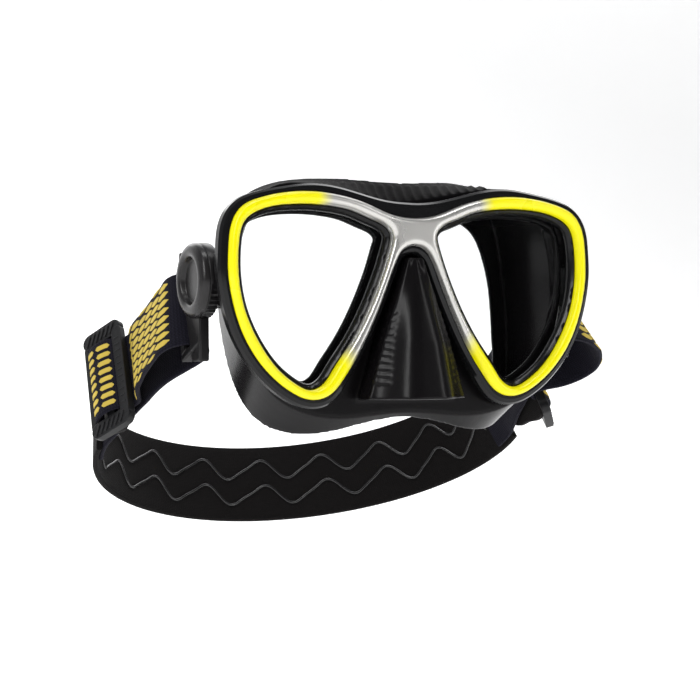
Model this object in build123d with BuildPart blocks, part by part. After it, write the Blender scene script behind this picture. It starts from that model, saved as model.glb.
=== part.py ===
"""Twin-lens snorkel mask: silicone skirt with nose pocket, black frame, coloured bezel, two flat
lenses, and a head strap on two swivel buckles.

Millimetres. +X to the wearer's left, -Y out through the lenses, +Z up. The origin is the centre of
the face opening, 35.5 mm behind the lens plane.
"""

import os
from math import cos, radians, sin

from build123d import *

os.makedirs("parts", exist_ok=True)

# front shell
LENS_Y = -35.5  # the flat reference plane that front depths are measured from
BEZEL_RISE = 2.0  # how far the bead stands in front of it
SKIRT_FRONT = 8.6  # depth of the skirt's front wall behind it
WALL = 2.4  # silicone wall
SEAL = 3.0  # thickness of the turned-in sealing lip

# face side
FACE_RADIUS = 95.0
FACE_Y = -15.7  # face surface on the centre line at Z = 0
FACE_TILT = 7.7

# buckles and strap
HUB_Y, HUB_Z = -13.0, 3.5
DROOP = 34.0  # the strap hangs back and down by this angle
LUG_IN, LUG_OUT = 71.6, 75.7
HUB_IN, HUB_OUT = 76.1, 84.6
HUB_R = 14.3
PIN_R = 4.0
BAR_X = 79.0  # middle of the strap bar's thickness
WEB_W, WEB_T = 33.0, 1.8
BAND_W, BAND_T = 35.0, 2.4
SLIDE_X, SLIDE_S = 97.0, 67.0  # middle of the slide, sideways and along the strap
SLIDE_TURN = 32.0  # the slide's rear end stands outwards by this angle
SLIDE_L, SLIDE_W, SLIDE_T = 20.0, 46.0, 3.7
BAND_S, BAND_X, BAND_BACK = 92.0, 93.5, 63.0  # the head band is half an ellipse that starts here

BEZEL_EDGE = [
    (0, 27.4), (10.9, 29), (19.5, 32.3), (31, 35.4), (43, 36.6), (54, 35.9), (64.5, 33.6), (71.6, 30.2),
    (75.4, 24.5), (76.9, 15.5), (77.1, 6.5), (75.6, -4), (72.4, -14.5), (67, -24.5), (60, -32.6), (52, -38.6),
    (43.4, -41.6), (36.6, -40), (30.8, -34.2), (23.3, -23), (17.4, -11.7), (12.4, -0.3), (8.4, 9.6),
    (4.6, 15.2), (0, 16.7),
]
FRAME_EDGE = [
    (0, 33.3), (9.6, 33.9), (19, 35.8), (31, 38.7), (43, 39.7), (54, 38.3), (65.5, 35.9), (73.6, 32.2),
    (78.3, 26), (80.2, 15.5), (80.4, 6), (78.7, -5), (75.3, -16), (69.6, -26.4), (62.2, -34.9), (53.3, -41.6),
    (43.4, -45), (34.9, -43), (28.6, -36), (21, -24.3), (15, -12.7), (10, -1.6), (6.4, 7.4), (3.6, 12.2),
    (0, 13.6),
]
WINDOW = [
    (9.9, 21.5), (12.6, 24.4), (18, 26.7), (26, 29.7), (34.7, 31.3), (43.4, 31.9), (50.5, 31.7), (57.2, 31),
    (64.5, 29), (70.4, 25), (72.8, 17), (73.2, 8), (72.4, -0.5), (70.6, -8), (67.6, -15.3), (63.3, -22.7),
    (57.2, -30.2), (50.8, -35.2), (43.4, -37.9), (38.4, -35.6), (34.5, -30.5), (29, -23), (24, -15.3),
    (19.9, -7.8), (16.3, 0), (12.9, 8.5), (10.4, 16),
]
# skirt sections: a front one and the one it runs out to beyond the face
SKIRT_A_Y, SKIRT_B_Y = -32.0, 22.0
SKIRT_A = [(0, 30.5), (32, 38), (60, 37), (72.3, 14), (69.4, -14), (57, -36), (38, -43.5), (0, -43)]
SKIRT_B = [(0, 62), (32, 51), (54, 37), (61.5, 10), (60, -22), (57, -46), (34, -86), (0, -80)]
SEAL_HOLE = [
    (0, 26), (22, 29.5), (34, 28), (43, 23.5), (49, 13.5), (52, 0), (51.5, -20), (49.5, -32), (42, -38), (29, -38),
    (18, -20), (8, 1), (0, 5),
]


def slab(front, rear, mode):
    """Keep or remove what lies between two depths behind the reference plane."""
    with Locations((0, LENS_Y + (front + rear) / 2, 0)):
        Box(260, rear - front, 260, mode=mode)


def closed_curve(points, grow):
    """Smooth closed curve through the points, moved outwards by a distance (inwards if negative)."""
    with BuildLine(mode=Mode.PRIVATE):
        base = Spline(*points, periodic=True)
    count = len(points) * 2
    middle = sum((base @ (i / count) for i in range(count)), Vector(0, 0, 0)) / count
    start, along = base @ 0, base % 0
    turn = 1 if (start - middle).cross(along).Z > 0 else -1
    moved = []
    for i in range(count):
        spot, along = base @ (i / count), base % (i / count)
        moved.append((spot.X + turn * grow * along.Y, spot.Y - turn * grow * along.X))
    return moved


def ring(points, y, grow=0.0):
    """Closed outline through half its points and their mirror images, on the plane at this Y."""
    loop = list(points) + [(-x, z) for x, z in reversed(points[1:-1])]
    with BuildSketch(Plane.XZ.offset(-y)) as outline:
        with BuildLine():
            Spline(*closed_curve(loop, grow), periodic=True)
        make_face()
    return outline.sketch


def window(side, grow=0.0, y=-60):
    """One lens opening, on the plane at this Y."""
    with BuildSketch(Plane.XZ.offset(-y)) as opening:
        with BuildLine():
            Spline(*closed_curve([(side * x, z) for x, z in WINDOW], grow), periodic=True)
        make_face()
    return opening.sketch


def rounded_front(points, steps, rear):
    """Solid ring outline whose front edge is rounded off; steps are (depth, inset) pairs from the front."""
    loft([ring(points, LENS_Y + depth, -inset) for depth, inset in steps], ruled=True)
    extrude(ring(points, LENS_Y + steps[-1][0]), amount=steps[-1][0] - rear)


def strip(points, thickness, plane):
    """Flat outline of even thickness along a smooth line through the points."""
    with BuildLine(mode=Mode.PRIVATE):
        middle = Spline(*points)
    count = len(points) * 6
    edges = ([], [])
    for i in range(count + 1):
        spot, along = middle @ (i / count), middle % (i / count)
        for edge, reach in zip(edges, (thickness / 2, -thickness / 2)):
            edge.append((spot.X - reach * along.Y, spot.Y + reach * along.X))
    with BuildSketch(plane) as outline:
        with BuildLine():
            Spline(*edges[0])
            Line(edges[0][-1], edges[1][-1])
            Spline(*edges[1])
            Line(edges[1][0], edges[0][0])
        make_face()
    return outline.sketch


def windows(depth, grow, mode):
    for side in (-1, 1):
        extrude(window(side, grow), amount=-depth, mode=mode)


def hub_plane():
    return Plane(origin=(0, HUB_Y, HUB_Z), x_dir=(1, 0, 0), z_dir=(0, 0, 1))


def strap_plane(up=0.0):
    """Local X is sideways, local Y runs back along the hanging strap, local Z is the strap's width."""
    tilt = radians(DROOP)
    return Plane(origin=(0, HUB_Y, HUB_Z), x_dir=(1, 0, 0), z_dir=(0, sin(tilt), cos(tilt))).offset(up)


def save(part, label):
    part.label = label
    export_step(part, f"parts/{label}.step")


# bezel: one coloured bead round both lenses, joined by the bridge
with BuildPart() as bezel:
    rounded_front(BEZEL_EDGE, [(-BEZEL_RISE, 1.4), (-1.5, 0.6), (-0.6, 0)], 2.6)
    windows(60, 0, Mode.SUBTRACT)
    for side in (-1, 1):
        with BuildPart(mode=Mode.PRIVATE) as flare:
            steps = ((-2.5, 2.2), (-1.5, 0.6), (-0.6, 0))
            loft([window(side, grow, LENS_Y + depth) for depth, grow in steps], ruled=True)
        add(flare.part, mode=Mode.SUBTRACT)
save(bezel.part, "bezel")

# room for the bezel in the frame's front
with BuildPart() as seat:
    extrude(ring(BEZEL_EDGE, -60), amount=-60)
    slab(-8.0, 2.6, Mode.INTERSECT)

with BuildPart() as frame_body:
    extrude(ring(BEZEL_EDGE, -60, -1.2), amount=-60)
    slab(0.6, SKIRT_FRONT, Mode.INTERSECT)

with BuildPart() as frame_lip:
    rounded_front(FRAME_EDGE, [(0.6, 2.2), (1.3, 0.8), (2.6, 0)], 5.6)

# frame: outer lip, deeper body behind the bezel, and the two side brackets that carry the buckles
with BuildPart() as main_frame:
    add(frame_lip.part)
    add(frame_body.part)
    for side in (-1, 1):
        with BuildSketch(Plane.YZ.offset(side * LUG_IN if side > 0 else -LUG_OUT)):
            with Locations((HUB_Y, HUB_Z)):
                Circle(10.5)
            with Locations((HUB_Y - 12, HUB_Z)):
                Rectangle(18, 19)
        extrude(amount=LUG_OUT - LUG_IN)
    add(seat.part, mode=Mode.SUBTRACT)
    windows(60, 0.0, Mode.SUBTRACT)
    with Locations((0, HUB_Y, HUB_Z)):
        Cylinder(PIN_R, 200, rotation=(0, 90, 0), mode=Mode.SUBTRACT)
save(main_frame.part, "main_frame")

# inner rims: black rings inside the bezel that hold the lenses from the front
for side, name in ((-1, "right"), (1, "left")):
    with BuildPart() as rim:
        extrude(window(side), amount=-60)
        extrude(window(side, -2.3), amount=-60, mode=Mode.SUBTRACT)
        slab(1.2, 4.4, Mode.INTERSECT)
    save(rim.part, f"{name}_rim")

    with BuildPart() as lens:
        extrude(window(side), amount=-60)
        slab(4.4, SKIRT_FRONT, Mode.INTERSECT)
    save(lens.part, f"{name}_lens")

# the face surface that the skirt is cut to
face_axis = Plane(
    origin=(0, FACE_Y + FACE_RADIUS, 0), z_dir=(0, sin(radians(FACE_TILT)), cos(radians(FACE_TILT)))
)


def face_cut(shift, mode):
    """Everything behind the wearer's face, moved along Y."""
    with Locations(face_axis.location * Pos(0, 0, 0)):
        with Locations((0, shift, 0)):
            Cylinder(FACE_RADIUS, 300, mode=mode)


with BuildPart() as cavity:
    loft([ring(SKIRT_A, SKIRT_A_Y - 1, -WALL), ring(SKIRT_B, SKIRT_B_Y, -WALL)], ruled=True)
    slab(SKIRT_FRONT + WALL, 120, Mode.INTERSECT)
    face_cut(-SEAL, Mode.SUBTRACT)

# nose pocket: height, half-widths at the back and front, and how far forward it stands
NOSE_Y = [(12.2, 3.0, 1.8, -36.6), (-4, 8.8, 5.2, -41.5), (-20, 14.4, 8.4, -46), (-42, 21, 11.4, -49.5)]


def nose(inset, low):
    """Loft up the nose pocket; each section is half-widths at the back and front, and the front's Y."""
    levels = []
    for z, back, front, tip in NOSE_Y:
        with BuildSketch(Plane.XY.offset(max(z, low) - (inset if z > 0 else 0))) as level:
            back, front, tip = back - inset, front - inset * 0.6, tip + inset
            with BuildLine():
                Polyline((back, -37), (back, -20), (-back, -20), (-back, -37))
                cheek = (front + 0.24 * (back - front), 0.5 * tip - 18.5)
                Spline(
                    (-back, -37), (-cheek[0], cheek[1]), (-front * 0.6, tip + 0.5), (0, tip),
                    (front * 0.6, tip + 0.5), cheek, (back, -37),
                )
            make_face()
        levels.append(level.sketch)
    loft(levels, ruled=True)


with BuildPart() as nose_outer:
    nose(0, -42)

with BuildPart() as nose_inner:
    nose(1.9, -39.8)

with BuildPart() as skirt:
    loft([ring(SKIRT_A, SKIRT_A_Y - 1), ring(SKIRT_B, SKIRT_B_Y)], ruled=True)
    slab(SKIRT_FRONT, 120, Mode.INTERSECT)
    face_cut(0, Mode.SUBTRACT)
    add(nose_outer.part)
    add(cavity.part, mode=Mode.SUBTRACT)
    add(nose_inner.part, mode=Mode.SUBTRACT)
    windows(60 + LENS_Y + SKIRT_FRONT + WALL + 1, -3.4, Mode.SUBTRACT)
    extrude(ring(SEAL_HOLE, 40), amount=62, mode=Mode.SUBTRACT)
save(skirt.part, "skirt")


def along_x(x):
    """Local X runs back along the hanging strap, local Y is the strap's width; the plane faces +X."""
    tilt = radians(DROOP)
    return Plane(origin=(x, HUB_Y, HUB_Z), x_dir=(0, cos(tilt), -sin(tilt)), z_dir=(1, 0, 0))


def slide_plane(side):
    """Middle of a slide: local X runs along it and local Z outwards."""
    droop, turn = radians(DROOP), radians(SLIDE_TURN)
    return Plane(
        origin=(side * SLIDE_X, HUB_Y + SLIDE_S * cos(droop), HUB_Z - SLIDE_S * sin(droop)),
        x_dir=(side * sin(turn), cos(turn) * cos(droop), -cos(turn) * sin(droop)),
        z_dir=(side * cos(turn), -sin(turn) * cos(droop), sin(turn) * sin(droop)),
    )


def through_slide(along, out):
    """A point of the webbing's line in the slide, as distances sideways and back along the strap."""
    turn = radians(SLIDE_TURN)
    return (SLIDE_X + along * sin(turn) + out * cos(turn), SLIDE_S + along * cos(turn) - out * sin(turn))


for side, name in ((-1, "right"), (1, "left")):
    hub_axis = Axis((0, HUB_Y, HUB_Z), (1, 0, 0))

    # pivot pin, pressed into the frame's bracket, with a head that keeps the buckle on
    with BuildPart() as pin:
        with BuildSketch(hub_plane()):
            with BuildLine():
                Polyline(
                    (side * LUG_IN, 0), (side * LUG_IN, PIN_R), (side * 81.0, PIN_R), (side * 81.0, 6.2),
                    (side * 81.8, 6.2), (side * 81.8, 0), close=True,
                )
            make_face()
        revolve(axis=hub_axis)
    save(pin.part, f"{name}_pivot_pin")

    # swivel buckle: disc with a notched rim, and the flat arm whose bar the strap loops round
    with BuildPart() as buckle:
        with BuildSketch(along_x(side * HUB_IN if side > 0 else -80.9)):
            Circle(HUB_R)
        extrude(amount=80.9 - HUB_IN)
        with BuildSketch(along_x(77.0 if side > 0 else -80.6)):
            with Locations((17.0, 0)):
                RectangleRounded(14.0, WEB_W + 9, 2.0)
            with Locations((18.4, 0)):
                Rectangle(3.2, WEB_W + 2.6, mode=Mode.SUBTRACT)
        extrude(amount=3.6)
        with BuildSketch(along_x(side * HUB_IN if side > 0 else -80.9)):
            Circle(PIN_R + 0.06)
            with PolarLocations(HUB_R + 0.5, 7, start_angle=-112, angular_range=72):
                Circle(1.0)
        extrude(amount=80.9 - HUB_IN, mode=Mode.SUBTRACT)
    save(buckle.part, f"{name}_buckle")

    # round cap with a rolled rim and a dished middle
    with BuildPart() as cap:
        with BuildSketch(hub_plane()):
            with BuildLine():
                Polyline((side * 82.0, 0), (side * 82.0, 7.0), (side * 80.9, 7.0), (side * 80.9, HUB_R))
                Line((side * 80.9, HUB_R), (side * 81.2, HUB_R))
                ThreePointArc((side * 81.2, HUB_R), (side * 83.3, 12.3), (side * HUB_OUT, 9.4))
                ThreePointArc((side * HUB_OUT, 9.4), (side * 84.5, 8.7), (side * 83.9, 8.2))
                Polyline((side * 83.9, 8.2), (side * 82.8, 7.8), (side * 82.8, 0), (side * 82.0, 0))
            make_face()
        revolve(axis=hub_axis)
    save(cap.part, f"{name}_hub_cap")

    # strap webbing: from the head band, forward and round the buckle's bar, back over the slide's bar
    loop = [
        (90.25, 101), (90.85, 97), (91.1, 93), (90.2, 84), (88.6, 72), (85.6, 60), (81.0, 47), (74.8, 36),
        (70.4, 27.5), (72.8, 20.8), (79, 18.3), (84.6, 20.8), (86.8, 28), (88.3, 37), (89.5, 46),
        (89.4, 52.5),
    ]
    loop += [through_slide(along, out) for along, out in (
        (-11.5, -2.9), (-7, -2.95), (-4.4, -1.35), (-2.4, 0.95), (0, 1.35), (2.4, 0.95), (4.4, -1.35),
        (6, -3.75),
    )]
    with BuildPart() as webbing:
        extrude(strip([(side * x, s) for x, s in loop], WEB_T, strap_plane()), amount=WEB_W / 2, both=True)
    save(webbing.part, f"{name}_webbing")

    # three-bar slide
    with BuildPart() as slide:
        with BuildSketch(slide_plane(side).offset(-SLIDE_T / 2)):
            RectangleRounded(SLIDE_L, SLIDE_W, 4.0)
            for along in (-4.75, 4.75):
                with Locations((along, 0)):
                    Rectangle(5.5, WEB_W + 1.4, mode=Mode.SUBTRACT)
        extrude(amount=SLIDE_T)
        with BuildSketch(slide_plane(side).offset(0.05)):
            Rectangle(4.2, WEB_W + 1.4)
        extrude(amount=SLIDE_T / 2, mode=Mode.SUBTRACT)
    save(slide.part, f"{name}_slide")

# head band
with BuildPart() as band:
    with BuildSketch(strap_plane()):
        with BuildLine():
            for grow in (BAND_T / 2, -BAND_T / 2):
                EllipticalCenterArc((0, BAND_S), BAND_X + grow, BAND_BACK + grow, start_angle=0, arc_size=180)
            for side in (-1, 1):
                Line((side * (BAND_X + BAND_T / 2), BAND_S), (side * (BAND_X - BAND_T / 2), BAND_S))
        make_face()
    extrude(amount=BAND_W / 2, both=True)
save(band.part, "head_band")

# two wavy grip lines, bonded a little into the band's inner face
WAVES, STEPS = 8, 6
for name, height in (("upper_grip", 5.5), ("lower_grip", -5.5)):
    points = []
    for i in range(WAVES * STEPS + 1):
        turn = radians(12 + 156 * i / (WAVES * STEPS))
        wave = height + 3.6 * sin(radians(360 * i / STEPS))
        inset = BAND_T / 2 + 0.45
        points.append(
            strap_plane().from_local_coords(
                ((BAND_X - inset) * cos(turn), BAND_S + (BAND_BACK - inset) * sin(turn), wave)
            )
        )
    with BuildPart() as grip:
        with BuildLine(mode=Mode.PRIVATE):
            wave_line = Spline(*points)
        sections = []
        for i in range(WAVES * STEPS + 1):
            at = i / (WAVES * STEPS)
            with BuildSketch(Plane(origin=wave_line @ at, z_dir=wave_line % at, x_dir=(0, 0, 1))) as section:
                Circle(0.75)
            sections.append(section.sketch)
        loft(sections)
    save(grip.part, name)
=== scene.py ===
"""Snorkel mask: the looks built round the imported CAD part. Lengths below are millimetres until placed."""

import math

import bpy
import numpy as np
from mathutils import Matrix, Vector, geometry
from mathutils.bvhtree import BVHTree


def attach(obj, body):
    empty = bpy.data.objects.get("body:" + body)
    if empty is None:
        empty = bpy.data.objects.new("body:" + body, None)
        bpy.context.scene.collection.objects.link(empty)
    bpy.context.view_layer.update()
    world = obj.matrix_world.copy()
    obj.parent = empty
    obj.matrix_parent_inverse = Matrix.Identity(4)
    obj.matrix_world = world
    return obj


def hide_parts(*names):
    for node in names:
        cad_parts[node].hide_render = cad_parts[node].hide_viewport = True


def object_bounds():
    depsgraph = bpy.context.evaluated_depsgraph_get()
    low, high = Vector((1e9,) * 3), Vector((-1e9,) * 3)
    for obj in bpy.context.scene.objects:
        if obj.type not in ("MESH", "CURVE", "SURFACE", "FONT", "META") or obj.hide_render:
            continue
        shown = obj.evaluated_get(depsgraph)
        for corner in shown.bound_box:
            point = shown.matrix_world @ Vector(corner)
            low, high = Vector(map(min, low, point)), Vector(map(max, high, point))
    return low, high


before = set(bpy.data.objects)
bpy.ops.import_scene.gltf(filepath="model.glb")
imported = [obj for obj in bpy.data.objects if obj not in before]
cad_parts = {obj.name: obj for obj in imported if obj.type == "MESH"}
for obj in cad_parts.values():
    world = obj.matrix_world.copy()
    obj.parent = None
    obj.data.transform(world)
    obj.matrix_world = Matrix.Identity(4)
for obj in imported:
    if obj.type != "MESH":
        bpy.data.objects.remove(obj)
cad_low, cad_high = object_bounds()

MM = 0.001
SIDES = ((-1, "right"), (1, "left"))  # the wearer's right is towards -X
LENS_Y = -35.5
BEZEL_STEPS, WINDOW_STEPS, RIM_W = 520, 260, 2.3
NOSE_RIB_R, BROW_RIB_R, CORNER_R = 0.5, 0.9, 2.9
HUB_Y, HUB_Z, DROOP = -13.0, 3.5, math.radians(34)
WEB_W, WEB_T = 33.0, 1.8
BAND_S, BAND_X, BAND_BACK, BAND_W, BAND_T = 92.0, 93.5, 63.0, 35.0, 2.2
SLIDE_X, SLIDE_S, SLIDE_TURN = 97.0, 67.0, math.radians(32)
SLIDE_BACK = -1.85
ARM_X = (77.0, 80.6)
LOOP_STEPS, TAB_STEPS = 300, 80
PAD_LONG, PAD_TALL, PAD_TIP = 6.9, 2.55, 1.9
PAD_PITCH_U, PAD_PITCH_V, PAD_ROWS = 6.2, 3.75, 8
# the studio, in metres
FLOOR_GAP, FLOOR_FRONT, FLOOR_LONG, SWEEP_R, WALL_TALL = 0.004, -2.5, 4.2, 0.9, 4.0
CAMERA_AT = (-0.3575, -0.7112, -0.023)
CAMERA_AZIMUTH, CAMERA_ROLL = math.radians(-26), math.radians(-0.5)

BEZEL_EDGE = [
    (0, 27.4), (10.9, 29), (19.5, 32.3), (31, 35.4), (43, 36.6), (54, 35.9), (64.5, 33.6),
    (71.6, 30.2), (75.4, 24.5), (76.9, 15.5), (77.1, 6.5), (75.6, -4), (72.4, -14.5), (67, -24.5),
    (60, -32.6), (52, -38.6), (43.4, -41.6), (36.6, -40), (30.8, -34.2), (23.3, -23),
    (17.4, -11.7), (12.4, -0.3), (8.4, 9.6), (4.6, 15.2), (0, 16.7),
]
WINDOW = [
    (9.9, 21.5), (12.6, 24.4), (18, 26.7), (26, 29.7), (34.7, 31.3), (43.4, 31.9), (50.5, 31.7), (57.2, 31),
    (64.5, 29), (70.4, 25), (72.8, 17), (73.2, 8), (72.4, -0.5), (70.6, -8), (67.6, -15.3), (63.3, -22.7),
    (57.2, -30.2), (50.8, -35.2), (43.4, -37.9), (38.4, -35.6), (34.5, -30.5), (29, -23), (24, -15.3),
    (19.9, -7.8), (16.3, 0), (12.9, 8.5), (10.4, 16),
]
# webbing: (sideways, along the strap) from the head band to the buckle's bar and back to the slide,
# then (along, out) through the slide itself
RIGHT_LOOP = [
    (90.25, 101), (90.85, 97), (91.1, 93), (90.2, 84), (88.6, 72), (85.6, 60), (81.0, 47), (74.8, 36),
    (70.4, 27.5), (72.8, 20.8), (79, 18.3), (85.2, 20.8), (87.8, 28), (89, 37), (89.8, 46), (89.6, 53.5),
]
LEFT_LOOP = [
    (90.25, 101), (90.85, 97), (91.1, 93), (90.2, 84), (88.6, 72), (86.6, 60), (84.0, 49), (79.5, 38),
    (75.0, 29), (74.6, 22.4), (79, 18.3), (88, 17.3), (97, 21.5), (103.5, 29.5), (106.5, 38), (105, 46),
    (99.5, 52), (93, 54.5), (89.2, 56.6),
]
IN_SLIDE = [
    (-11.5, -2.9), (-8.5, -3.0), (-6.4, -1.6), (-5.4, 0.3), (-3.6, 2.1), (-0.8, 3.1), (2.4, 3.1),
    (5.2, 2.1), (7.1, 0.3), (7.9, -1.8), (7.2, -3.6),
]


# ---------------------------------------------------------------- helpers

def mirrored(points):
    return list(points) + [(-x, z) for x, z in reversed(points[1:-1])]


def spline(points, count, closed):
    """Cubic spline over chord length, evenly sampled."""
    p = np.array(points, float)
    if closed:
        p = np.vstack([p, p[:1]])
    n = len(p)
    t = np.concatenate([[0], np.cumsum(np.linalg.norm(np.diff(p, axis=0), axis=1))])
    h = np.diff(t)
    a, r = np.zeros((n, n)), np.zeros((n, p.shape[1]))
    slope = np.diff(p, axis=0) / h[:, None]
    for i in range(1, n - 1):
        a[i, i - 1], a[i, i], a[i, i + 1] = h[i - 1], 2 * (h[i - 1] + h[i]), h[i]
        r[i] = 6 * (slope[i] - slope[i - 1])
    if closed:
        a[0, 0], a[0, n - 1] = 1, -1
        a[-1, 0], a[-1, 1], a[-1, n - 2], a[-1, n - 1] = 2 * h[0], h[0], h[-1], 2 * h[-1]
        r[-1] = 6 * (slope[0] - slope[-1])
    else:
        a[0, 0] = a[-1, -1] = 1
    m = np.linalg.solve(a, r)

    def at(u):
        u = np.asarray(u, float)
        i = np.clip(np.searchsorted(t, u, side="right") - 1, 0, n - 2)
        w, hh = (u - t[i])[:, None], h[i][:, None]
        v = hh - w
        return ((m[i] * v ** 3 + m[i + 1] * w ** 3) / (6 * hh)
                + (p[i] / hh - m[i] * hh / 6) * v + (p[i + 1] / hh - m[i + 1] * hh / 6) * w)

    fine = np.linspace(0, t[-1], 4000)
    length = np.concatenate([[0], np.cumsum(np.linalg.norm(np.diff(at(fine), axis=0), axis=1))])
    even = np.interp(np.linspace(0, length[-1], count, endpoint=not closed), length, fine)
    return at(even), length[-1]


def mesh_object(name, verts, faces, material, body, sharp=40, uv=None):
    """A smooth-shaded piece from points in millimetres; uv is one pair per point."""
    mesh = bpy.data.meshes.new(name)
    mesh.from_pydata([tuple(c * MM for c in v) for v in verts], [], faces)
    mesh.validate()
    mesh.shade_smooth()
    if sharp:
        mesh.set_sharp_from_angle(angle=math.radians(sharp))
    if uv is not None:
        layer = mesh.uv_layers.new(name="weave")
        index = np.empty(len(mesh.loops), int)
        mesh.loops.foreach_get("vertex_index", index)
        layer.data.foreach_set("uv", np.array(uv, np.float32)[index].ravel())
    obj = bpy.data.objects.new(name, mesh)
    bpy.context.scene.collection.objects.link(obj)
    mesh.materials.append(material)
    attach(obj, body)
    return obj


def bevel(obj, width, segments=3):
    cut = obj.modifiers.new("edges", "BEVEL")
    cut.width, cut.segments, cut.limit_method = width * MM, segments, "ANGLE"
    cut.angle_limit = math.radians(30)
    cut.harden_normals = False


def facing(faces, side):
    """Faces as built for the wearer's left, turned over for the mirrored side."""
    return [f if side > 0 else f[::-1] for f in faces]


def edge_normals(loop):
    """Unit normals of a flat closed loop."""
    along = np.roll(loop, -1, 0) - np.roll(loop, 1, 0)
    along /= np.linalg.norm(along, axis=1)[:, None]
    return np.stack([-along[:, 1], along[:, 0]], 1)


def inside(points, loop):
    """Even-odd test of points against a closed loop."""
    x, y = points[:, 0][:, None], points[:, 1][:, None]
    a, b = loop, np.roll(loop, -1, 0)
    crosses = ((a[:, 1] > y) != (b[:, 1] > y)) & (
        x < (b[:, 0] - a[:, 0]) * (y - a[:, 1]) / (b[:, 1] - a[:, 1] + 1e-12) + a[:, 0])
    return crosses.sum(1) % 2 == 1


def edge_distance(points, loop):
    a, b = loop, np.roll(loop, -1, 0)
    out = np.empty(len(points))
    for i in range(0, len(points), 400):
        q = points[i:i + 400, None, :]
        d = b - a
        w = np.clip(((q - a) * d).sum(-1) / (d * d).sum(-1), 0, 1)[..., None]
        out[i:i + 400] = np.linalg.norm(q - a - w * d, axis=-1).min(1)
    return out


def plate(name, outline, holes, top, back, steps, material, body, grid=2.2):
    """A moulded rim on the flat front. top(outer, inner, x, z) is the depth of its front surface."""
    loops = [outline] + holes

    def within(q):
        keep = inside(q, outline)
        for hole in holes:
            keep &= ~inside(q, hole)
        return keep

    points, edges = [], []
    for loop in loops:
        first = len(points)
        points += [tuple(p) for p in loop]
        edges += [(first + i, first + (i + 1) % len(loop)) for i in range(len(loop))]
    fill = []
    for loop in loops:
        normal = edge_normals(loop)
        for step in steps:
            for sign in (1, -1):
                q = loop + sign * step * normal
                q = q[within(q)]
                if len(q):
                    gap = np.min([edge_distance(q, other) for other in loops], axis=0)
                    fill.append(q[gap > step * 0.94])
    low, high = outline.min(0), outline.max(0)
    gx, gz = np.meshgrid(np.arange(low[0], high[0], grid), np.arange(low[1], high[1], grid))
    q = np.stack([gx.ravel(), gz.ravel()], 1)
    q = q[within(q)]
    gap = np.min([edge_distance(q, other) for other in loops], axis=0)
    fill.append(q[gap > steps[-1] + grid * 0.5])
    taken = set()
    for q in np.vstack(fill):
        cell = (round(q[0] / 0.45), round(q[1] / 0.45))
        if cell not in taken:
            taken.add(cell)
            points.append(tuple(q))
    flat, _, tris, *_ = geometry.delaunay_2d_cdt([Vector(p) for p in points], edges, [], 0, 1e-6)
    flat = np.array([tuple(v) for v in flat])
    centres = np.array([flat[list(t)].mean(0) for t in tris])
    keep = within(centres)
    tris = [tuple(t) for t, k in zip(tris, keep) if k]
    outer = edge_distance(flat, outline)
    inner = np.min([edge_distance(flat, hole) for hole in holes], axis=0)
    y = np.full(len(flat), LENS_Y)
    n = len(flat)
    verts = np.vstack([
        np.stack([flat[:, 0], y + top(outer, inner, flat[:, 0], flat[:, 1]), flat[:, 1]], 1),
        np.stack([flat[:, 0], y + back, flat[:, 1]], 1),
    ])
    a, b, c = (flat[[t[k] for t in tris]] for k in range(3))
    turn = (b - a)[:, 0] * (c - a)[:, 1] - (b - a)[:, 1] * (c - a)[:, 0]
    tris = [t if s > 0 else t[::-1] for t, s in zip(tris, turn)]
    faces = list(tris) + [tuple(v + n for v in t[::-1]) for t in tris]
    used = {}
    for t in tris:
        for i in range(3):
            e = (t[i], t[(i + 1) % 3])
            used[e] = True
    for e in list(used):
        if (e[1], e[0]) not in used:
            faces.append((e[1], e[0], e[0] + n, e[1] + n))
    return mesh_object(name, verts, faces, material, body, sharp=50)


def strap_point(x, s, w):
    """From the strap's own lines (sideways, along, across) to the mask's space; its upper edge draws in."""
    x, s, w = np.broadcast_arrays(np.asarray(x, float), np.asarray(s, float), np.asarray(w, float))
    lean = np.interp(s, (8, 18, 45, 60, 74, 90), (0, 0.0013, 0.0014, 0.0010, 0.0010, 0.0022))
    outer_lean = np.interp(s, (14, 26, 40, 58), (0, 0.0019, 0.0016, 0))
    lean = lean + outer_lean * np.clip((np.abs(x) - 76) / 9, 0, 1)
    x = x * (1 - lean * w)
    s = np.where(s > BAND_S, BAND_S + (s - BAND_S) * (1 - 0.0022 * w), s)
    y = HUB_Y + s * math.cos(DROOP) + w * math.sin(DROOP)
    z = HUB_Z - s * math.sin(DROOP) + w * math.cos(DROOP)
    return np.stack([x, y, z], -1)


def through_slide(along, out):
    """Distances along and out of a slide, as distances sideways and along the strap."""
    return (SLIDE_X + along * math.sin(SLIDE_TURN) + out * math.cos(SLIDE_TURN),
            SLIDE_S + along * math.cos(SLIDE_TURN) - out * math.sin(SLIDE_TURN))


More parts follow.
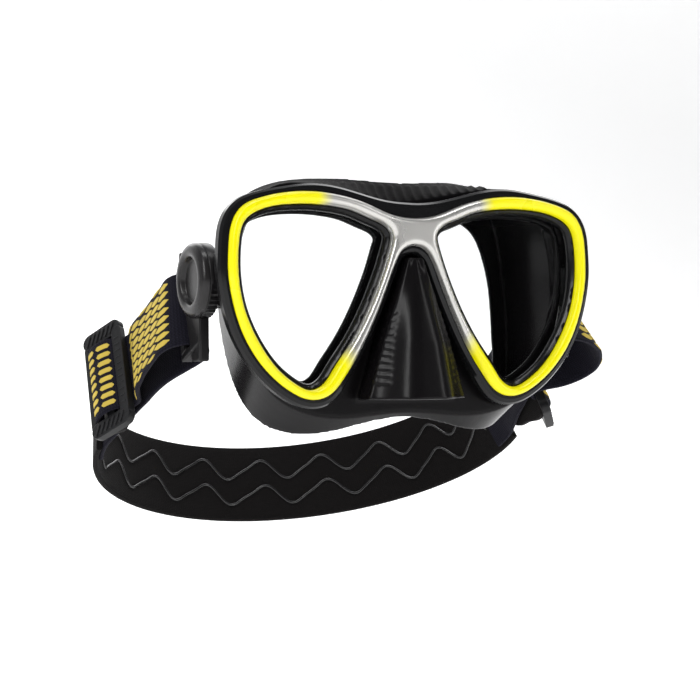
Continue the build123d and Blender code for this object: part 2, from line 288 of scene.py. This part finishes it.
def ribbon(name, path, width, thick, across, material, body, edge=0.8):
    """A flat strap along a path of (sideways, along) points, with rounded edges and weave coordinates."""
    n = len(path)
    along = np.gradient(path, axis=0)
    along /= np.linalg.norm(along, axis=1)[:, None]
    normal = np.stack([-along[:, 1], along[:, 0]], 1)
    run = np.concatenate([[0], np.cumsum(np.linalg.norm(np.diff(path, axis=0), axis=1))])
    half = width / 2
    w = np.concatenate([
        -half + edge * (1 - np.cos(np.linspace(0, math.pi / 2, 4)))[:-1],
        np.linspace(-half + edge, half - edge, across),
        half - edge * (1 - np.cos(np.linspace(math.pi / 2, 0, 4)))[1:],
    ])
    lift = thick / 2 * np.sqrt(np.clip(1 - np.clip((np.abs(w) - half + edge) / edge, 0, 1) ** 2, 0, 1))
    section = [(w[i], lift[i]) for i in range(len(w))]
    section += [(w[i], -lift[i]) for i in range(len(w) - 2, 0, -1)]
    k = len(section)
    verts, uv, faces = [], [], []
    for i in range(n):
        for sw, sl in section:
            p = path[i] + normal[i] * sl
            verts.append(strap_point(p[0], p[1], sw))
            uv.append((run[i] * 0.1, (sw + (0 if sl >= 0 else 100)) * 0.1))
    for i in range(n - 1):
        for j in range(k):
            a, b = i * k + j, i * k + (j + 1) % k
            faces.append((a, b, b + k, a + k))
    faces += [tuple(range(k))[::-1], tuple((n - 1) * k + j for j in range(k))]
    return mesh_object(name, verts, faces, material, body, sharp=60, uv=uv)


def tube(points, radius, sides=8):
    """Points and faces of a round-ended tube along a line of 3-D points."""
    p = np.array(points, float)
    along = np.gradient(p, axis=0)
    along /= np.linalg.norm(along, axis=1)[:, None]
    side = np.cross(along, (0.13, 0.21, 0.97))
    side /= np.linalg.norm(side, axis=1)[:, None]
    up = np.cross(side, along)
    scale = np.ones(len(p))
    scale[[0, -1]], scale[[1, -2]] = 0.35, 0.85
    verts, faces = [], []
    for i in range(len(p)):
        for j in range(sides):
            a = 2 * math.pi * j / sides
            verts.append(p[i] + radius * scale[i] * (side[i] * math.cos(a) + up[i] * math.sin(a)))
    for i in range(len(p) - 1):
        for j in range(sides):
            a, b = i * sides + j, i * sides + (j + 1) % sides
            faces.append((a, b, b + sides, a + sides))
    faces += [tuple(range(sides))[::-1], tuple((len(p) - 1) * sides + j for j in range(sides))]
    return verts, faces


def join(parts):
    verts, faces = [], []
    for v, f in parts:
        first = len(verts)
        verts += [tuple(q) for q in v]
        faces += [tuple(i + first for i in face) for face in f]
    return verts, faces


def block(x, s, w, turn=0.0):
    """A box in the strap's lines: three (low, high) pairs; turn rotates it in the strap's own plane."""
    cs, cw = sum(s) / 2, sum(w) / 2
    verts = []
    for px in x:
        for ps in s:
            for pw in w:
                ds, dw = ps - cs, pw - cw
                verts.append((px, cs + ds * math.cos(turn) - dw * math.sin(turn),
                              cw + ds * math.sin(turn) + dw * math.cos(turn)))
    faces = [(0, 1, 3, 2), (4, 6, 7, 5), (0, 4, 5, 1), (2, 3, 7, 6), (0, 2, 6, 4), (1, 5, 7, 3)]
    return verts, faces


# ---------------------------------------------------------------- materials

def surface(name, color, rough, bump=0.05, scale=400.0, metallic=0.0, coat=0.0, tint=0.12, spec=0.5):
    """A finish with fine grain in its bump and small drifts in colour and gloss."""
    mat = bpy.data.materials.new(name)
    mat.use_nodes = True
    nodes, links = mat.node_tree.nodes, mat.node_tree.links
    shader = nodes["Principled BSDF"]
    shader.inputs["Metallic"].default_value = metallic
    shader.inputs["Coat Weight"].default_value = coat
    shader.inputs["Coat Roughness"].default_value = 0.12
    shader.inputs["Specular IOR Level"].default_value = spec
    place = nodes.new("ShaderNodeTexCoord")
    broad, fine = nodes.new("ShaderNodeTexNoise"), nodes.new("ShaderNodeTexNoise")
    broad.inputs["Scale"].default_value, fine.inputs["Scale"].default_value = 45, scale
    fine.inputs["Detail"].default_value = 4
    for noise in (broad, fine):
        links.new(place.outputs["Object"], noise.inputs["Vector"])
    gloss = nodes.new("ShaderNodeMapRange")
    gloss.inputs["To Min"].default_value, gloss.inputs["To Max"].default_value = rough - 0.05, rough + 0.05
    links.new(broad.outputs["Fac"], gloss.inputs["Value"])
    links.new(gloss.outputs["Result"], shader.inputs["Roughness"])
    mix = nodes.new("ShaderNodeMix")
    mix.data_type = "RGBA"
    mix.inputs["A"].default_value = (*[c * (1 - tint) for c in color], 1)
    mix.inputs["B"].default_value = (*[min(1, c * (1 + tint)) for c in color], 1)
    links.new(broad.outputs["Fac"], mix.inputs["Factor"])
    links.new(mix.outputs["Result"], shader.inputs["Base Color"])
    relief = nodes.new("ShaderNodeBump")
    relief.inputs["Strength"].default_value, relief.inputs["Distance"].default_value = bump, 0.0004
    links.new(fine.outputs["Fac"], relief.inputs["Height"])
    links.new(relief.outputs["Normal"], shader.inputs["Normal"])
    return mat


def woven(name, dark, light, pitch_u, pitch_v, bump=0.5, rough=0.85, shift=0.5):
    """Woven or knitted cloth: rows of short ridges from the piece's own weave coordinates."""
    mat = surface(name, dark, rough, bump=0.1, scale=900, spec=0.12)
    nodes, links = mat.node_tree.nodes, mat.node_tree.links
    shader = nodes["Principled BSDF"]
    shader.inputs["Sheen Weight"].default_value = 0.03
    shader.inputs["Sheen Roughness"].default_value = 0.5
    uv = nodes.new("ShaderNodeUVMap")
    uv.uv_map = "weave"
    split = nodes.new("ShaderNodeSeparateXYZ")
    links.new(uv.outputs["UV"], split.inputs["Vector"])

    def math_node(operation, a, b=None):
        node = nodes.new("ShaderNodeMath")
        node.operation = operation
        for socket, value in zip(node.inputs, (a, b)):
            if value is None:
                continue
            if isinstance(value, (int, float)):
                socket.default_value = value
            else:
                links.new(value, socket)
        return node.outputs[0]

    # the weave coordinates are in centimetres and the pitches in millimetres
    v = math_node("MULTIPLY", split.outputs["Y"], math.pi * 10 / pitch_v)
    u = math_node("MULTIPLY", split.outputs["X"], math.pi * 10 / pitch_u)
    row = math_node("ABSOLUTE", math_node("SINE", v))
    brick = math_node("ADD", u, math_node("MULTIPLY", math_node("SINE", v), shift))
    stitch = math_node("ABSOLUTE", math_node("SINE", brick))
    height = math_node("MULTIPLY", math_node("POWER", row, 0.6), math_node("POWER", stitch, 0.5))
    relief = nodes.new("ShaderNodeBump")
    relief.inputs["Strength"].default_value, relief.inputs["Distance"].default_value = bump, 0.0003
    links.new(height, relief.inputs["Height"])
    links.new(relief.outputs["Normal"], shader.inputs["Normal"])
    mix = nodes.new("ShaderNodeMix")
    mix.data_type = "RGBA"
    mix.inputs["A"].default_value, mix.inputs["B"].default_value = (*dark, 1), (*light, 1)
    links.new(height, mix.inputs["Factor"])
    links.new(mix.outputs["Result"], shader.inputs["Base Color"])
    return mat


SILICONE_ROUGH, SILICONE_SPEC = 0.24, 0.13
silicone = surface("silicone_gloss", (0.005, 0.0045, 0.005), SILICONE_ROUGH,
                   bump=0.03, scale=250, spec=SILICONE_SPEC)
shell = surface("shell_gloss", (0.006, 0.006, 0.0065), 0.16, bump=0.015, scale=300, spec=0.25)
rim_black = surface("rim_gloss", (0.005, 0.005, 0.0055), 0.2, bump=0.015, spec=0.22)
buckle_black = surface("buckle_satin", (0.009, 0.0085, 0.009), 0.3, bump=0.05, scale=500, spec=0.22)
cap_grey = surface("cap_satin", (0.014, 0.013, 0.0135), 0.26, bump=0.08, scale=600, spec=0.32)
slide_black = surface("slide_matt", (0.011, 0.011, 0.012), 0.42, bump=0.12, scale=700, spec=0.25)
steel = surface("pin_steel", (0.55, 0.55, 0.57), 0.3, metallic=1.0, bump=0.05)
grip_rubber = surface("grip_silicone", (0.014, 0.0135, 0.014), 0.22, bump=0.04, spec=0.6)
gold_print = surface("gold_print", (0.6, 0.45, 0.075), 0.62, bump=0.35, scale=1100, tint=0.16, spec=0.2)
navy_weave = woven("navy_weave", (0.0025, 0.0025, 0.005), (0.013, 0.012, 0.021), 1.1, 0.8)
black_knit = woven("black_knit", (0.002, 0.0018, 0.0018), (0.009, 0.0075, 0.0075), 1.0, 0.7, bump=0.4)


def matt_above(mat, low, high, rough, spec, gloss):
    """Let a finish turn matt over a band of heights, in metres."""
    nodes, links = mat.node_tree.nodes, mat.node_tree.links
    shader = nodes["Principled BSDF"]
    place, split = nodes.new("ShaderNodeTexCoord"), nodes.new("ShaderNodeSeparateXYZ")
    links.new(place.outputs["Object"], split.inputs["Vector"])
    for socket, start, end in (("Roughness", gloss[0], rough), ("Specular IOR Level", gloss[1], spec)):
        ramp = nodes.new("ShaderNodeMapRange")
        ramp.inputs["From Min"].default_value, ramp.inputs["From Max"].default_value = low, high
        ramp.inputs["To Min"].default_value, ramp.inputs["To Max"].default_value = start, end
        links.new(split.outputs["Z"], ramp.inputs["Value"])
        links.new(ramp.outputs["Result"], shader.inputs[socket])


# the ribbed brow is matt
matt_above(silicone, 0.027, 0.033, 0.62, 0.02, (SILICONE_ROUGH, SILICONE_SPEC))


def bezel_finish():
    """Yellow lacquer that fades to silver over the bridge."""
    mat = surface("bezel_fade", (0.9, 0.9, 0.02), 0.28, bump=0.02, coat=0.1, spec=0.35)
    nodes, links = mat.node_tree.nodes, mat.node_tree.links
    shader = nodes["Principled BSDF"]
    place = nodes.new("ShaderNodeTexCoord")
    reach = nodes.new("ShaderNodeVectorMath")
    reach.operation = "MULTIPLY_ADD"
    reach.inputs[1].default_value = (1 / 0.036, 0, 1 / 0.065)
    reach.inputs[2].default_value = (0.0035 / 0.036, 0, -0.020 / 0.065)
    links.new(place.outputs["Object"], reach.inputs[0])
    length = nodes.new("ShaderNodeVectorMath")
    length.operation = "LENGTH"
    links.new(reach.outputs["Vector"], length.inputs[0])
    fade = nodes.new("ShaderNodeMapRange")
    fade.interpolation_type = "SMOOTHSTEP"
    fade.inputs["From Min"].default_value, fade.inputs["From Max"].default_value = 0.88, 1.08
    links.new(length.outputs["Value"], fade.inputs["Value"])
    mix = nodes.new("ShaderNodeMix")
    mix.data_type = "RGBA"
    mix.inputs["A"].default_value = (0.6, 0.59, 0.565, 1)
    mix.inputs["B"].default_value = (0.93, 0.86, 0.0, 1)
    links.new(fade.outputs["Result"], mix.inputs["Factor"])
    links.new(mix.outputs["Result"], shader.inputs["Base Color"])
    metal = nodes.new("ShaderNodeMapRange")
    metal.inputs["To Min"].default_value, metal.inputs["To Max"].default_value = 0.75, 0.0
    links.new(fade.outputs["Result"], metal.inputs["Value"])
    links.new(metal.outputs["Result"], shader.inputs["Metallic"])
    return mat


def lens_finish():
    """Clear glass: mostly open, with a reflection that grows at a glance."""
    mat = bpy.data.materials.new("lens_glass")
    mat.use_nodes = True
    nodes, links = mat.node_tree.nodes, mat.node_tree.links
    nodes.remove(nodes["Principled BSDF"])
    clear, gloss = nodes.new("ShaderNodeBsdfTransparent"), nodes.new("ShaderNodeBsdfGlossy")
    place, haze = nodes.new("ShaderNodeTexCoord"), nodes.new("ShaderNodeTexNoise")
    haze.inputs["Scale"].default_value = 30
    links.new(place.outputs["Object"], haze.inputs["Vector"])
    tone = nodes.new("ShaderNodeMix")
    tone.data_type = "RGBA"
    tone.inputs["A"].default_value = (0.965, 0.975, 0.97, 1)
    tone.inputs["B"].default_value = (0.985, 0.99, 0.99, 1)
    links.new(haze.outputs["Fac"], tone.inputs["Factor"])
    links.new(tone.outputs["Result"], clear.inputs["Color"])
    gloss.inputs["Roughness"].default_value = 0.02
    fresnel = nodes.new("ShaderNodeFresnel")
    fresnel.inputs["IOR"].default_value = 1.13
    mix = nodes.new("ShaderNodeMixShader")
    links.new(fresnel.outputs["Fac"], mix.inputs["Fac"])
    links.new(clear.outputs["BSDF"], mix.inputs[1])
    links.new(gloss.outputs["BSDF"], mix.inputs[2])
    links.new(mix.outputs["Shader"], nodes["Material Output"].inputs["Surface"])
    return mat


bezel_paint, glass = bezel_finish(), lens_finish()
for node, material in (
    ("main_frame", shell), ("right_lens", glass), ("left_lens", glass),
    ("right_pivot_pin", steel), ("left_pivot_pin", steel),
):
    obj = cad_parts[node]
    obj.data.materials.clear()
    obj.data.materials.append(material)
    obj.data.shade_smooth()
    obj.data.set_sharp_from_angle(angle=math.radians(32))

# ---------------------------------------------------------------- bezel and rims
bezel_loop, _ = spline(mirrored(BEZEL_EDGE), BEZEL_STEPS, True)
window_loops = [spline([(side * x, z) for x, z in WINDOW], WINDOW_STEPS, True)[0] for side, _ in SIDES]


def bezel_top(outer, inner, x, z):
    """Rounded bead: low at both edges and full in the middle."""
    rise = [np.sqrt(np.clip(1 - (1 - np.clip(edge / 2.1, 0, 1)) ** 2, 0, 1)) for edge in (outer, inner)]
    return 0.9 - 2.9 * rise[0] * rise[1]


bezel = plate("bezel_bead", bezel_loop, window_loops, bezel_top, 2.6, (0.12, 0.4, 0.85, 1.5, 2.3, 3.2),
              bezel_paint, "mask")
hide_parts("bezel")


def rim_top(outer, inner, x, z):
    """A step that falls towards the lens, with a fine ridge near its outer edge."""
    fall = np.clip(1 - inner / 1.6, 0, 1) ** 2
    return 1.6 + 1.6 * fall - 0.35 * np.exp(-((outer - 0.7) / 0.3) ** 2)


for (side, name), loop in zip(SIDES, window_loops):
    normal = edge_normals(loop)
    normal *= np.sign(((loop.mean(0) - loop) * normal).sum(1).mean())
    hole = loop + RIM_W * normal
    rim = plate(f"{name}_lens_rim", loop, [hole], rim_top, 4.3, (0.3, 0.7, 1.1, 1.6, 2.0),
                rim_black, "mask")
    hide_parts(f"{name}_rim")

# ---------------------------------------------------------------- skirt
# the CAD skirt with its ribs melted in
cad_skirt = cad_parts["skirt"]
skin_verts = [tuple(c / MM for c in v.co) for v in cad_skirt.data.vertices]
skin_faces = [tuple(p.vertices) for p in cad_skirt.data.polygons]
skin = BVHTree.FromPolygons([Vector(v) for v in skin_verts], skin_faces)
ridges = []
for side, _ in SIDES:
    for i in range(11):
        z = -9.5 - 2.6 * i
        line = []
        for y in np.linspace(-28.2, -38.5 - 0.32 * i, 14):
            start = Vector((side * 60, y, z + 0.026 * (y + 41) ** 2))
            hit, *_ = skin.ray_cast(start, Vector((-side, 0, 0)))
            if hit and abs(hit.x) < 22.5:
                line.append(tuple(hit))
        if len(line) > 4:
            ridges.append(tube(line, NOSE_RIB_R))
for i in range(19):
    x0 = -36 + 4 * i
    line = []
    for t in np.linspace(0, 1, 12):
        hit, *_ = skin.ray_cast(Vector((x0 + 5 * t, -28 + 15 * t, 90)), Vector((0, 0, -1)))
        if hit and hit.z > 25:
            line.append(tuple(hit))
    if len(line) > 4:
        ridges.append(tube(line, BROW_RIB_R))
# the wall is thinnest at the lenses' upper outer corners, so a bead of silicone backs it there
corner, _ = spline([(72.0, 9), (72.8, 13), (72.7, 18), (71.6, 23), (68.6, 28.4), (63.5, 32)], 24, False)
for side, _ in SIDES:
    ridges.append(tube([(side * x, -24.2, z) for x, z in corner], CORNER_R, sides=12))
verts, faces = join([(skin_verts, skin_faces)] + ridges)
skirt = mesh_object("soft_skirt", verts, faces, silicone, "mask", sharp=0)
melt = skirt.modifiers.new("melt", "REMESH")
melt.mode, melt.voxel_size, melt.use_smooth_shade = "VOXEL", 0.55 * MM, True
ease = skirt.modifiers.new("ease", "SMOOTH")
ease.factor, ease.iterations = 0.5, 6
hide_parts("skirt")

# ---------------------------------------------------------------- buckles

def lathe(name, profile, side, material, body, notch=None, steps=144):
    """Turned round the pivot line: profile is (sideways, radius) pairs, inner end to outer end."""
    verts, faces = [], []
    for i in range(steps):
        a = 2 * math.pi * i / steps
        for x, r in profile:
            if notch:
                r = notch(a, x, r)
            verts.append((side * x, HUB_Y + r * math.cos(a), HUB_Z + r * math.sin(a)))
    k = len(profile)
    for i in range(steps):
        for j in range(k - 1):
            a, b = i * k + j, ((i + 1) % steps) * k + j
            faces.append((a, a + 1, b + 1, b))
    return mesh_object(name, verts, facing(faces, side), material, body, sharp=35)


def toothed(a, x, r):
    """Small grip teeth round the lower part of the rim."""
    lower = max(0.0, math.cos(a + math.pi / 2))
    if r < 13 or x > 80:
        return r
    return r - 0.7 * min(1, lower * 3) * (0.5 + 0.5 * math.cos(a * 40))


for side, name in SIDES:
    disc = lathe(f"{name}_swivel_disc", [
        (76.1, 4.3), (76.1, 13.4), (76.5, 14.2), (77.5, 14.3), (78.2, 14.3), (79.3, 14.3),
        (80.4, 14.2), (80.8, 13.9), (80.8, 4.3), (76.1, 4.3),
    ], side, buckle_black, "strap", toothed)
    parts = []
    for verts, faces in (
        block(ARM_X, (10.0, 16.8), (-21, 21)),
        block(ARM_X, (20.0, 24.0), (-18, 18)),
        block(ARM_X, (16.0, 24.0), (17.8, 21)),
        block(ARM_X, (16.0, 24.0), (-21, -17.8)),
    ):
        parts.append(([strap_point(side * x, s, w) for x, s, w in verts], facing(faces, side)))
    # its lower end hangs straight down
    low = [(side * x, y, z) for x in (77.2, 81.2) for y in (-16.5, -7.5) for z in (-26.8, -10)]
    parts.append((low, facing(faces, side)))
    verts, faces = join(parts)
    arm = mesh_object(f"{name}_strap_arm", verts, faces, buckle_black, "strap")
    bevel(arm, 0.8)
    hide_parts(f"{name}_buckle")
    cap = lathe(f"{name}_cap", [
        (80.9, 7.0), (80.9, 14.1), (81.1, 14.3), (82.3, 14.2), (83.1, 13.8), (83.8, 13.1), (84.3, 12.2),
        (84.55, 11.2), (84.5, 10.2), (84.2, 9.4), (83.6, 8.9), (82.5, 8.6), (82.0, 8.3), (81.8, 7.6),
        (81.85, 3.5), (81.85, 0.01),
    ], side, cap_grey, "strap")
    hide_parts(f"{name}_hub_cap")

# ---------------------------------------------------------------- webbing with its printed pads
for (side, name), loop in zip(SIDES, (RIGHT_LOOP, LEFT_LOOP)):
    points = loop + [through_slide(along, out) for along, out in IN_SLIDE]
    path, length = spline([(side * x, s) for x, s in points], LOOP_STEPS, False)
    web = ribbon(f"{name}_strap_webbing", path, WEB_W, WEB_T, 16, navy_weave, "strap")
    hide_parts(f"{name}_webbing")
    run = np.linspace(0, length, LOOP_STEPS)
    along = np.gradient(path, axis=0)
    along /= np.linalg.norm(along, axis=1)[:, None]
    outward = np.stack([-along[:, 1], along[:, 0]], 1)
    nose = int(np.argmin(path[:, 1]))
    if outward[nose + 60][0] * side < 0:
        outward = -outward

    def pad(u, v, long, tall, tip):
        """One raised pad: an elongated hexagon that follows the strap's bend."""
        stations = [
            (-long / 2, 0.12), (-long / 2 + tip, 1), (-long / 6, 1),
            (long / 6, 1), (long / 2 - tip, 1), (long / 2, 0.12),
        ]
        low, high = WEB_T / 2 - 0.1, WEB_T / 2 + 0.2
        verts, faces = [], []
        for du, part in stations:
            at = np.clip(u + du, 0, length)
            spot = np.array([np.interp(at, run, path[:, 0]), np.interp(at, run, path[:, 1])])
            lift = np.array([np.interp(at, run, outward[:, 0]), np.interp(at, run, outward[:, 1])])
            lift /= np.linalg.norm(lift)
            for dv, h in ((-1, low), (-0.93, high), (0.93, high), (1, low)):
                q = spot + lift * h
                verts.append(strap_point(q[0], q[1], v + dv * part * tall / 2))
        for i in range(len(stations) - 1):
            for j in range(3):
                a = i * 4 + j
                faces.append((a, a + 1, a + 5, a + 4))
        last = (len(stations) - 1) * 4
        faces += [(0, 3, 2, 1), (last, last + 1, last + 2, last + 3)]
        return verts, facing(faces, -side)

    start = run[nose] + 10.5
    centre = np.array(through_slide(1.2, 3.15)) * (side, 1)
    bar = run[nose + int(np.argmin(np.linalg.norm(path[nose:] - centre, axis=1)))]
    pads = []
    # staggered columns up to the slide; a pad at the webbing's edge is narrower
    for column in range(int((bar - 14 - start) / PAD_PITCH_U) + 1):
        odd = column % 2
        for row in range(PAD_ROWS + odd):
            v, tall = (row - (PAD_ROWS - 1) / 2 - odd / 2) * PAD_PITCH_V, PAD_TALL
            if abs(v) + tall / 2 > WEB_W / 2 - 0.3:
                v, tall = math.copysign(WEB_W / 2 - 1.1, v), 1.3
            pads.append(pad(start + column * PAD_PITCH_U, v, PAD_LONG, tall, PAD_TIP))
    # two plain columns over the slide's bar
    for du, long in ((-3.0, 5.6), (3.7, 5.2)):
        for row in range(PAD_ROWS):
            pads.append(pad(bar + du, (row - (PAD_ROWS - 1) / 2) * PAD_PITCH_V, long, 2.2, 0.8))
    verts, faces = join(pads)
    mesh_object(f"{name}_strap_pads", verts, faces, gold_print, "strap", sharp=30)

# ---------------------------------------------------------------- slides

def prism(along, w, radius, out, count=6):
    """A rounded plate in a slide's own lines: (out, along, across) points and faces."""
    rim = []
    for k, (sa, sw) in enumerate(((1, 1), (-1, 1), (-1, -1), (1, -1))):
        ca = (along[1] - radius) if sa > 0 else (along[0] + radius)
        cw = (w[1] - radius) if sw > 0 else (w[0] + radius)
        for i in range(count + 1):
            turn = math.pi / 2 * (k + i / count)
            rim.append((ca + radius * math.cos(turn), cw + radius * math.sin(turn)))
    n = len(rim)
    verts = [(out[0], a, c) for a, c in rim] + [(out[1], a, c) for a, c in rim]
    faces = [(i, n + i, n + (i + 1) % n, (i + 1) % n) for i in range(n)]
    return verts, faces + [tuple(range(n)), tuple(range(n, 2 * n))[::-1]]


for side, name in SIDES:
    # front rail, rear rail, bar, and the two rounded ends
    parts = [
        prism((-10.2, -5.6), (-20.5, 20.5), 1.6, (SLIDE_BACK, 1.75)),
        prism((7.6, 10.0), (-19.5, 19.5), 1.1, (SLIDE_BACK, 0.9)),
        prism((-2.0, 2.0), (-19.0, 19.0), 0.8, (-1.7, 0.6)),
        prism((-10.0, 9.6), (17.4, 24.2), 3.3, (SLIDE_BACK, 1.65)),
        prism((-10.0, 9.6), (-24.2, -17.4), 3.3, (SLIDE_BACK, 1.65)),
    ]
    for i in range(6):
        for end in (-1, 1):
            low = -6.6 + 2.5 * i
            across = (end * 20.8 - 2.5, end * 20.8 + 2.5)
            parts.append(block((0.9, 2.15), (low, low + 1.1), across, turn=0.5))
    for i in range(11):
        w = -15 + 3 * i
        parts.append(block((1.4, 1.98), (-9.2, -6.6), (w - 0.35, w + 0.35), turn=0.12))
    placed = []
    for verts, faces in parts:
        lines = [(through_slide(along, out), w) for out, along, w in verts]
        placed.append(([strap_point(side * x, s, w) for (x, s), w in lines], facing(faces, side)))
    verts, faces = join(placed)
    slide = mesh_object(f"{name}_strap_slide", verts, faces, slide_black,
                        f"{name}_strap_slide")
    bevel(slide, 0.7, 4)
    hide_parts(f"{name}_slide")

# ---------------------------------------------------------------- head band and its grip lines
turns = np.linspace(0, math.pi, 200)
band_path = np.stack([BAND_X * np.cos(turns), BAND_S + BAND_BACK * np.sin(turns)], 1)
band = ribbon("elastic_band", band_path, BAND_W, BAND_T, 14, black_knit, "strap", edge=1.0)
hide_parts("head_band")

# the band's front ends, tucked inside the slides
TAB = [(86, 12), (70, 6), (61.5, -6), (60, -17), (61.5, -22.5), (66, -23.6), (76, -19.5), (86, -15)]
for side, name in SIDES:
    outline, _ = spline(TAB, TAB_STEPS, True)
    middle = outline.mean(0)
    verts, faces = [], []
    for lift in (-1.1, -0.9, 0.9, 1.1):
        shrink = 1.0 if abs(lift) < 1 else 0.96
        for s, w in (outline - middle) * shrink + middle:
            verts.append(strap_point(side * (93.4 + lift - 0.03 * (86 - s)), s, w))
    for k in range(3):
        for i in range(TAB_STEPS):
            a, b = k * TAB_STEPS + i, k * TAB_STEPS + (i + 1) % TAB_STEPS
            faces.append((a, b, b + TAB_STEPS, a + TAB_STEPS))
    faces = facing(faces, side)
    faces += [tuple(range(TAB_STEPS))[::side], tuple(range(3 * TAB_STEPS, 4 * TAB_STEPS))[::-side]]
    uv = [(s * 0.1, w * 0.1) for _ in range(4) for s, w in outline]
    mesh_object(f"{name}_band_end", verts, faces, black_knit, "strap", sharp=50, uv=uv)

for name, height in (("upper_grip", 6.0), ("lower_grip", -6.0)):
    line = []
    inset = BAND_T / 2 + 0.2
    for i in range(241):
        turn = math.radians(11 + 158 * i / 240)
        phase = 2 * math.pi * 8.5 * i / 240
        w = height + 4.2 * math.sin(phase) + 0.9 * math.sin(2 * phase)
        x, s = (BAND_X - inset) * math.cos(turn), BAND_S + (BAND_BACK - inset) * math.sin(turn)
        line.append(strap_point(x, s, w))
    verts, faces = tube(line, 0.7, sides=10)
    grip = mesh_object(f"{name}_line", verts, faces, grip_rubber, "strap", sharp=0)
    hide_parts(name)

# ---------------------------------------------------------------- floor, light, camera
# a sheet of paper that curves up behind the mask
floor_z = cad_low.z - FLOOR_GAP
verts, rows = [], []
for i in range(41):
    a = min(1, max(0, (i - 20) / 20)) * math.pi / 2
    y = FLOOR_FRONT + FLOOR_LONG * min(i, 20) / 20 + SWEEP_R * math.sin(a)
    z = floor_z + SWEEP_R * (1 - math.cos(a))
    rows.append((y, z))
rows.append((rows[-1][0], floor_z + WALL_TALL))
for y, z in rows:
    verts += [(-4000, y * 1000, z * 1000), (4000, y * 1000, z * 1000)]
faces = [(2 * i, 2 * i + 1, 2 * i + 3, 2 * i + 2) for i in range(len(rows) - 1)]
paper = surface("studio_paper", (0.86, 0.86, 0.86), 0.95, bump=0.02, tint=0.01, spec=0.1)
glow = paper.node_tree.nodes["Principled BSDF"].inputs
glow["Emission Color"].default_value = (1.0, 1.0, 1.0, 1)
glow["Emission Strength"].default_value = 0.55
mesh = bpy.data.meshes.new("studio_floor")
mesh.from_pydata([tuple(c * MM for c in v) for v in verts], [], faces)
mesh.shade_smooth()
mesh.materials.append(paper)
floor = bpy.data.objects.new("studio_floor", mesh)
bpy.context.scene.collection.objects.link(floor)


def area_light(name, place, aim, width, height, power):
    lamp = bpy.data.lights.new(name, "AREA")
    lamp.shape, lamp.size, lamp.size_y, lamp.energy = "RECTANGLE", width, height, power
    obj = bpy.data.objects.new(name, lamp)
    obj.location = place
    obj.rotation_mode = "QUATERNION"
    obj.rotation_quaternion = (Vector(aim) - Vector(place)).to_track_quat("-Z", "Y")
    bpy.context.scene.collection.objects.link(obj)


area_light("key", (-1.0, -0.75, 0.75), (0, 0, 0), 0.22, 1.1, 9)
area_light("fill", (0.95, -1.0, 0.3), (0, 0, 0), 0.16, 1.2, 4)
area_light("top", (0.0, -0.2, 1.5), (0, 0.0, 0), 1.0, 0.3, 7)
area_light("back", (0.4, 1.6, 1.2), (0, 1.2, 0), 2.6, 1.2, 22)

world = bpy.data.worlds.new("studio")
bpy.context.scene.world = world
world.use_nodes = True
nodes, links = world.node_tree.nodes, world.node_tree.links
ground = nodes["Background"]
place, split = nodes.new("ShaderNodeTexCoord"), nodes.new("ShaderNodeSeparateXYZ")
dim = nodes.new("ShaderNodeMapRange")
links.new(place.outputs["Generated"], split.inputs["Vector"])
links.new(split.outputs["Y"], dim.inputs["Value"])
dim.inputs["From Min"].default_value, dim.inputs["From Max"].default_value = -0.3, 0.5
dim.inputs["To Min"].default_value, dim.inputs["To Max"].default_value = 0.12, 0.7
links.new(dim.outputs["Result"], ground.inputs["Strength"])
ground.inputs["Color"].default_value = (0.96, 0.97, 1.0, 1)
bpy.context.scene.view_settings.view_transform = "Standard"

camera = bpy.data.cameras.new("camera")
camera.lens, camera.sensor_width = 102.5, 36
camera.clip_start, camera.clip_end = 0.01, 50
eye = bpy.data.objects.new("camera", camera)
look = Vector((-math.sin(CAMERA_AZIMUTH), math.cos(CAMERA_AZIMUTH), 0))
eye.location = Vector(CAMERA_AT)
eye.rotation_mode = "QUATERNION"
tilt = Matrix.Rotation(CAMERA_ROLL, 3, "Z").to_quaternion()
eye.rotation_quaternion = look.to_track_quat("-Z", "Y") @ tilt
bpy.context.scene.collection.objects.link(eye)
bpy.context.scene.camera = eye
